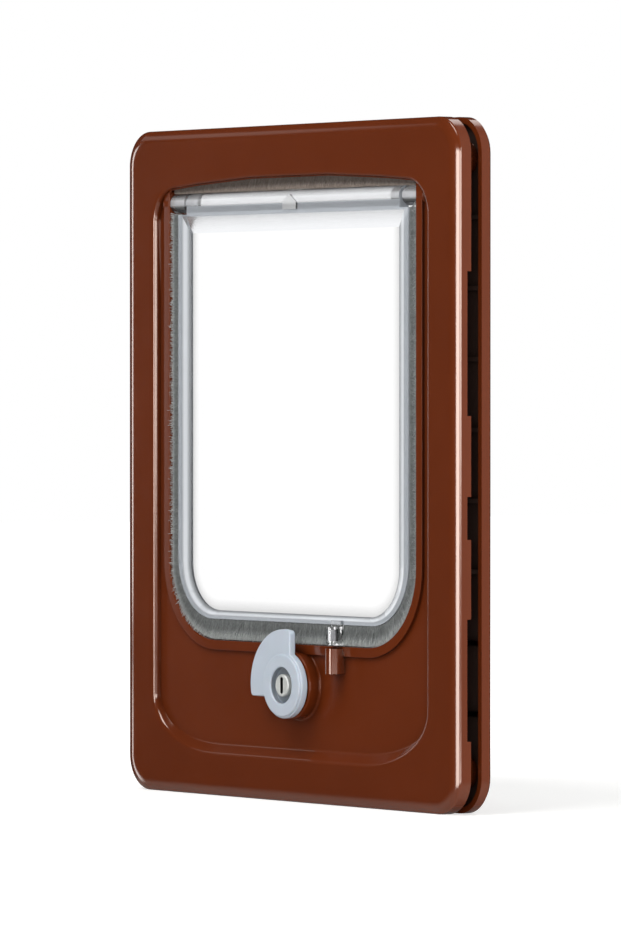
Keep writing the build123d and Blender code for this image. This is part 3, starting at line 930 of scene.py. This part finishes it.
class FLAP_OT_pile_strips(bpy.types.Operator):
    """Pile round the flap and under the arched head"""

    bl_idname = "cat_flap.pile_strips"
    bl_label = "Pile strips"

    def execute(self, context):
        s = in_millimetres(context.scene.cat_flap_sizes)
        p = in_millimetres(context.scene.cat_flap_pile)
        colours = context.scene.cat_flap_colours
        grey = polypropylene_pile("Polypropylene pile grey", colours.pile_dark, colours.pile_light)
        # Head pile in painted shade
        shaded_head_pile = polypropylene_pile("Polypropylene pile grey in painted shade", colours.head_pile_shade_dark, colours.head_pile_shade_light)
        y = -s.flap_depth

        # Down the flap's right side, along its foot and up its left side
        clearance = 0.1
        edge = s.flap_half + clearance
        low = s.flap_foot + clearance
        bend = s.flap_corner + clearance
        path = [(edge, y, s.flap_top)]
        heights = [p.side]
        for sign in (1, -1):
            for step in range(19):
                turn = step / 18 if sign > 0 else 1 - step / 18
                angle = turn * pi / 2
                path.append((sign * (edge - bend + bend * cos(angle)), y, -low + bend - bend * sin(angle)))
                heights.append(p.side + (p.foot - p.side) * turn)
        path.append((-edge, y, s.flap_top))
        heights.append(p.side)
        pile_strip("flap_pile", path, heights, p, 3, grey, "flap", "brush_strip")

        # Under the arched head, cut off above the barrel
        half = s.opening_half - 2.0
        arch = s.arch_radius - 0.05
        top = s.opening_top - 0.05
        barrel_top = s.hinge_height + 3.3
        places = [half * (1 - step / 16) for step in range(33)]
        path = [(x, y, top - arch + sqrt(arch ** 2 - x ** 2)) for x in places]
        heights = [min(p.head, point[2] - barrel_top) for point in path]
        pile_strip("head_pile", path, heights, p, 11, shaded_head_pile, "frame", "head_seal")
        return {"FINISHED"}


class FLAP_OT_turning_latch(bpy.types.Operator):
    """Turning latch with its quarter-round tongue, dished hub, slotted screw and washer"""

    bl_idname = "cat_flap.turning_latch"
    bl_label = "Turning latch"

    def execute(self, context):
        s = in_millimetres(context.scene.cat_flap_sizes)
        colours = context.scene.cat_flap_colours
        back, face_y, hub_front, dish = -8.75, -11.35, -12.15, -9.85
        dish_radius = 6.4
        overlap = 4.2
        tip = sqrt(s.latch_reach ** 2 - overlap ** 2)
        waist = sqrt(s.latch_hub ** 2 - overlap ** 2)

        def arc(radius, start, end, count, steps):
            """Points on an arc about the latch's axis."""
            angles = [start + (end - start) * step / count for step in steps]
            return [(radius * cos(angle), radius * sin(angle)) for angle in angles]

        # Outline of the tongue with its two soft corners, and of the hub
        rim = arc(s.latch_reach, atan2(tip, overlap), atan2(-overlap, -tip) + 2 * pi, 40, range(4, 37))
        first = rounded([(overlap, tip - 4.0), (overlap, tip), rim[0]], (1.5,), 6)[1:-1]
        last = rounded([rim[-1], (-tip, -overlap), (4.0 - tip, -overlap)], (1.5,), 6)[1:-1]
        low = atan2(-overlap, -waist) + 2 * pi
        hub = arc(s.latch_hub, low, atan2(waist, overlap) + 2 * pi, 48, range(49))
        bm = bmesh.new()
        add_prism(bm, first + rim + last + hub, back, face_y,
                  lambda a, b, along: (s.latch_x + a, along, b - s.latch_drop))
        acetal = moulded_acetal("Acetal moulded satin", colours.latch)
        plate = shaped_piece("latch_plate_part", bm, acetal, bevel=0.5)

        # Dish cut into the plate, and the hub turned round it
        centre = (s.latch_x, 0.0, -s.latch_drop)
        bm = bmesh.new()
        add_turned(bm, [(dish_radius, back - 6.0), (dish_radius, back + 1.0)], centre, "Y", 72, False)
        carved(plate, shaped_piece("dish_cutter", bm, acetal))
        bm = bmesh.new()
        bm.from_mesh(plate.data)
        bpy.data.objects.remove(plate)
        bmesh.ops.scale(bm, vec=(1 / MM,) * 3, verts=bm.verts)
        hub_edge = s.latch_hub - 0.5
        dish_edge = dish_radius - 0.1
        profile = rounded([(LATCH_BORE, back), (hub_edge, back), (hub_edge, hub_front),
                           (dish_edge, hub_front), (dish_edge, dish), (LATCH_BORE, dish)],
                          (0.1, 0.7, 0.5, 0.3))
        add_turned(bm, profile, centre, "Y", 72, True)
        latch = shaped_piece("latch_moulding", bm, acetal)

        def in_round(radius, front, end):
            """Whether a face lies round the latch's axis, between two depths."""
            def inside(x, y, z, normal):
                return hypot(x - s.latch_x, z + s.latch_drop) < radius and front < y < end
            return inside

        # Dish round the screw, darkened as painted shade
        painted_dish_shade = moulded_acetal("Acetal in the dish", tinted(colours.latch, 0.42))
        painted(latch, [painted_dish_shade], in_round(dish_radius, face_y + 0.05, dish + 0.1))
        stand_for(latch, "latch", "latch_plastic", "latch")

        satin = plated_steel("Steel nickel plated satin", colours.zinc, 0.42, 0.4)
        screw = softened_node("latch_screw", "latch_screw_plated", satin, 0.12)
        # Inside of the slot, darkened as painted shade
        painted_slot_shade = plated_steel("Steel in the slot", tinted(colours.nickel, 0.12), 0.5)
        painted(screw, [painted_slot_shade], in_round(3.3, -11.75, -10.2))
        stand_for(screw, "frame", "steel", "latch_screw")
        dress("latch_washer", zinc_plated(colours))
        return {"FINISHED"}


def zinc_plated(colours):
    """Bright plating of the washer and the clamping screws."""
    return plated_steel("Steel zinc plated", colours.zinc, 0.2)


def cross_recess():
    """Cutter for a cross recess that narrows towards its floor."""
    bm = bmesh.new()
    rings = []
    for y, arm, half in ((8.9, 1.9, 0.5), (6.9, 0.7, 0.34)):
        quarter = [(half, half), (half, arm), (-half, arm)]
        loop = [Matrix.Rotation(turn * pi / 2, 2) @ Vector(point) for turn in range(4) for point in quarter]
        rings.append([(point.x, y, point.y) for point in loop])
    for loop in add_rings(bm, rings, False):
        bm.faces.new(loop)
    return bm


class FLAP_OT_small_parts(bpy.types.Operator):
    """Closing magnets and clamping screws"""

    bl_idname = "cat_flap.small_parts"
    bl_label = "Magnets and screws"

    def execute(self, context):
        colours = context.scene.cat_flap_colours
        nickel = plated_steel("Magnet nickel plated", colours.nickel, 0.15)
        dress("flap_magnet", nickel)
        dress("frame_magnet", nickel)

        zinc = zinc_plated(colours)
        shank, head = 1.75, 3.4
        tip, root, under, top = -4.3, -2.6, 6.5, 8.4
        bm = bmesh.new()
        profile = rounded([(AXIS_GAP, tip), (shank, root), (shank, under), (head, under), (head, top),
                           (AXIS_GAP, top)], (0.2, 0.1, 0.1, 1.3))
        add_turned(bm, profile, (0.0, 0.0, 0.0), "Y", 40, False)
        screw = shaped_piece("clamping_screws", bm, zinc)
        carved(screw, shaped_piece("cross_cutter", cross_recess(), zinc))
        laid_out(screw, zinc, 2 * SCREW_X, 2 * SCREW_Z, 2, 2)
        stand_for(screw, "frame", "steel", "frame_screws")
        return {"FINISHED"}


def white_card(base):
    """Matt white card: even and pale, white where the camera sees it lit, with a soft shadow."""
    material, tree, where = new_material("Matt white card")
    path = add_node(tree, "ShaderNodeLightPath").outputs
    through = path["Is Transmission Ray"]

    def blended(share, first, second):
        """Shader between two others."""
        return add_node(tree, "ShaderNodeMixShader", {0: share, 1: first, 2: second})

    def glow(strength):
        """White light of a given strength."""
        return add_node(tree, "ShaderNodeEmission", {"Color": WHITE, "Strength": strength})

    tone = drifting(tree, noise(tree, where, 60, 2.0), base, 0.99, 1.01)
    matt = add_node(tree, "ShaderNodeBsdfDiffuse", {"Color": tone})
    # Paler away from the object, so that floor and surround meet without a line
    away = vector(tree, "LENGTH", where, (0.0, 0.0, 0.0)).outputs["Value"]
    lit = ranged(tree, away, (0.16, 0.5), (0.58, 1.0), "SMOOTHSTEP")
    seen = glow(calc(tree, "MULTIPLY", lit, path["Is Camera Ray"]))
    direct = add_node(tree, "ShaderNodeAddShader", {0: matt, 1: seen})
    even = blended(through, direct, glow(WHITE_THROUGH_PANE))
    # Seen in the polished frame at a flat angle, the card mirrors what stands behind it
    sheen = add_node(tree, "ShaderNodeBsdfGlossy", {"Color": (0.8, 0.8, 0.8, 1.0), "Roughness": 0.05})
    mirrored = calc(tree, "MAXIMUM", calc(tree, "SUBTRACT", path["Is Glossy Ray"], through))
    facing = add_node(tree, "ShaderNodeLayerWeight", {"Blend": 0.5}).outputs["Facing"]
    flat = calc(tree, "MULTIPLY", mirrored, ranged(tree, facing, (0.66, 0.82)))
    add_node(tree, "ShaderNodeOutputMaterial", {"Surface": blended(flat, even, sheen)})
    return material


def white_surround():
    """World that the camera sees white, and the polished frame dark in front of it and pale behind."""
    world = bpy.data.worlds.new("White surround")
    world.use_nodes = True
    tree = world.node_tree
    tree.nodes.clear()
    path = add_node(tree, "ShaderNodeLightPath").outputs
    direction = add_node(tree, "ShaderNodeTexCoord").outputs["Generated"]
    behind = vector(tree, "DOT_PRODUCT", direction, (0.6, 0.8, 0.0)).outputs["Value"]
    mirrored = ranged(tree, behind, (0.3, 0.9), (0.03, 0.4), "SMOOTHSTEP")
    strength = between(tree, path["Is Glossy Ray"], 0.25, mirrored)
    strength = between(tree, path["Is Transmission Ray"], strength, WHITE_THROUGH_PANE)
    strength = between(tree, path["Is Camera Ray"], strength, 1.0)
    white = add_node(tree, "ShaderNodeBackground", {"Color": WHITE, "Strength": strength})
    add_node(tree, "ShaderNodeOutputWorld", {"Surface": white})
    return world


def soft_box(name, azimuth, elevation, distance, width, height, power):
    """Area lamp aimed at the object. Azimuth 0 is in front of it and 90 on its right."""
    lamp = bpy.data.lights.new(name, "AREA")
    lamp.shape = "RECTANGLE"
    lamp.size = width
    lamp.size_y = height
    lamp.energy = power
    holder = linked_object(name, lamp)
    holder.visible_transmission = False
    a, e = radians(azimuth), radians(elevation)
    aim_from(holder, Vector((sin(a) * cos(e), -cos(a) * cos(e), sin(e))) * distance, Vector())
    return holder


def aim_from(holder, place, aim):
    """Lamp or camera set at a place and turned towards an aim."""
    holder.location = place
    holder.rotation_euler = (aim - place).to_track_quat("-Z", "Y").to_euler()


class FLAP_OT_stage(bpy.types.Operator):
    """White floor and surround, soft boxes and the camera"""

    bl_idname = "cat_flap.stage"
    bl_label = "Stage"

    def execute(self, context):
        scene = context.scene
        bm = bmesh.new()
        bmesh.ops.create_grid(bm, x_segments=2, y_segments=2, size=4.0)
        bmesh.ops.translate(bm, vec=(0, 0, CAD_BOX[0][2]), verts=bm.verts)
        mesh = bpy.data.meshes.new("floor_card")
        bm.to_mesh(mesh)
        bm.free()
        mesh.materials.append(white_card(scene.cat_flap_colours.floor))
        floor = linked_object("floor_card", mesh)
        scene.world = white_surround()

        # Azimuth, elevation, distance, width, height and power of each lamp
        soft_box("Low band", 42, 4, 1.6, 0.9, 0.32, 8.0)
        soft_box("Low band", 76, 4, 1.6, 0.9, 0.32, 8.0)
        # Low band that shows in the crowned edge only
        soft_box("Front band", 4, 2.6, 1.6, 0.5, 0.4, 8.2).visible_diffuse = False
        soft_box("High soft box", 5, 55, 1.6, 1.0, 0.7, 17.5)
        soft_box("Left strip", -70, 4, 1.4, 0.26, 0.4, 1.7)
        soft_box("Left high strip", -64, 22, 1.4, 0.35, 0.2, 0.12)
        soft_box("Right soft box", 100, 8, 1.8, 0.7, 0.6, 14.0)
        soft_box("Rear soft box", 195, 42, 1.8, 1.2, 0.8, 7.0)

        lens = bpy.data.cameras.new("Photo camera")
        lens.sensor_width = 36.0
        lens.lens = 263.2
        lens.clip_start = 0.05
        lens.clip_end = 50.0
        camera = linked_object("Photo camera", lens)
        aim_from(camera, Vector((1.9295, -1.3825, 0.0279)), Vector((0.0049, 0.0007, -0.0008)))
        scene.camera = camera
        scene.view_settings.view_transform = "Standard"
        return {"FINISHED"}


class FLAP_PT_panel(bpy.types.Panel):
    """Sizes, colours and build steps of the cat flap"""

    bl_idname = "FLAP_PT_panel"
    bl_label = "Cat flap"
    bl_space_type = "VIEW_3D"
    bl_region_type = "UI"
    bl_category = "Cat flap"

    def draw(self, context):
        for operator in OPERATORS:
            self.layout.operator(operator.bl_idname)
        for name in GROUPS:
            group = getattr(context.scene, name)
            box = self.layout.box()
            for key in type(group).__annotations__:
                box.prop(group, key)


GROUPS = {"cat_flap_sizes": FlapSizes, "cat_flap_pile": PileSizes, "cat_flap_colours": FlapColours}
OPERATORS = (FLAP_OT_stage, FLAP_OT_front_frame, FLAP_OT_rear_frame, FLAP_OT_swing_flap, FLAP_OT_pile_strips,
             FLAP_OT_turning_latch, FLAP_OT_small_parts)


def register():
    for name, group in GROUPS.items():
        bpy.utils.register_class(group)
        setattr(bpy.types.Scene, name, PointerProperty(type=group))
    for operator in OPERATORS:
        bpy.utils.register_class(operator)
    bpy.utils.register_class(FLAP_PT_panel)


def unregister():
    bpy.utils.unregister_class(FLAP_PT_panel)
    for operator in reversed(OPERATORS):
        bpy.utils.unregister_class(operator)
    for name, group in GROUPS.items():
        delattr(bpy.types.Scene, name)
        bpy.utils.unregister_class(group)


def main():
    register()
    bpy.ops.cat_flap.stage()
    bpy.ops.cat_flap.front_frame()
    bpy.ops.cat_flap.rear_frame()
    bpy.ops.cat_flap.swing_flap()
    bpy.ops.cat_flap.pile_strips()
    bpy.ops.cat_flap.turning_latch()
    bpy.ops.cat_flap.small_parts()


if __name__ == "__main__":
    main()
